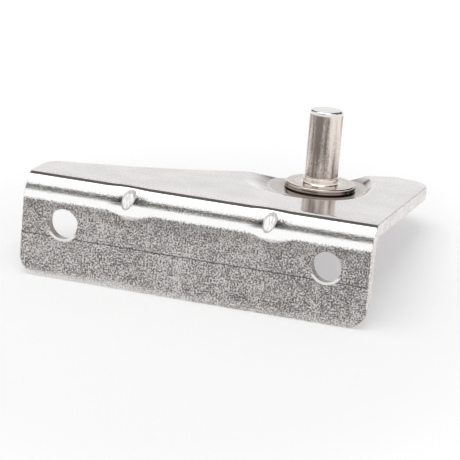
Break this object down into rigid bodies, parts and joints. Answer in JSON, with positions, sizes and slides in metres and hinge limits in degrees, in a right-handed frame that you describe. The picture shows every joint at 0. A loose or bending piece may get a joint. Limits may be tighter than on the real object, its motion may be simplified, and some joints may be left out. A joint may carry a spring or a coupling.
{
  "type": "fridge door hinge",
  "caption": "Fridge door hinge: a folded stainless bracket with a dished plate and a staked, turned door pin.",
  "frame": {"origin": "midway between the two screw holes, on the flange's outer face, which lies against the cabinet", "axes": "+X along the fold towards the pin's end, +Y away from the cabinet along the plate, +Z along the pin towards its free end"},
  "size_m": [0.084, 0.0522, 0.0416],
  "materials": {
    "sheet_steel": "satin",
    "pin_steel": "satin"
  },
  "bodies": {
    "root": {"bracket": "sheet_steel", "hinge_pin": "pin_steel"}
  },
  "joints": []
}
